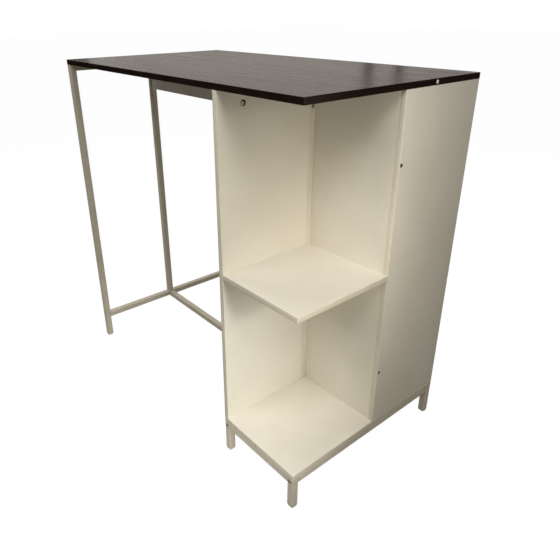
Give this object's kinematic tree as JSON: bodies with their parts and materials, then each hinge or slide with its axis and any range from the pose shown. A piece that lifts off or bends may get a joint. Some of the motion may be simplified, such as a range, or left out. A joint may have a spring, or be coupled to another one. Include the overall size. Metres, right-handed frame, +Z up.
{
  "type": "bar table",
  "caption": "Tall narrow bar table: thin dark top on a square-tube leg frame at one end and an open corner cabinet with shelves at the other.",
  "frame": {"origin": "on the floor, under the middle of the table top", "axes": "+X along the table from the leg frame to the cabinet, +Y from the front to the back, +Z up"},
  "size_m": [1.1024, 0.6024, 1.047],
  "materials": {
    "top_board": "satin dark woodgrain laminate",
    "top_band": "matt dark brown edge band",
    "cream_board": "matt cream laminate on particle board",
    "painted_tube": "satin beige powder coat on steel tube",
    "foot_cap": "matt moulded plastic",
    "zinc_fastener": "bright zinc plating",
    "cam_metal": "dull die-cast zinc",
    "white_plug": "glossy white plastic"
  },
  "bodies": {
    "root": {"table_top": "top_board", "top_band_front": "top_band", "top_band_back": "top_band", "top_band_left": "top_band", "top_band_right": "top_band", "left_panel": "cream_board", "right_panel": "cream_board", "divider_panel": "cream_board", "bottom_board": "cream_board", "front_shelf": "cream_board", "back_shelf": "cream_board", "apron_board": "cream_board", "front_left_leg": "painted_tube", "back_left_leg": "painted_tube", "upper_side_rail": "painted_tube", "lower_side_rail": "painted_tube", "middle_post": "painted_tube", "centre_stretcher": "painted_tube", "cabinet_post": "painted_tube", "base_leg_front_left": "painted_tube", "base_leg_front_right": "painted_tube", "base_leg_back_left": "painted_tube", "base_leg_back_right": "painted_tube", "base_front_rail": "painted_tube", "base_back_rail": "painted_tube", "base_left_rail": "painted_tube", "base_right_rail": "painted_tube", "foot_caps": "foot_cap", "frame_bolts": "zinc_fastener", "apron_bolts": "zinc_fastener", "confirmat_screws": "zinc_fastener", "cam_bolts": "zinc_fastener", "barrel_nuts": "zinc_fastener", "cam_locks": "cam_metal", "edge_plug": "white_plug"}
  },
  "joints": []
}
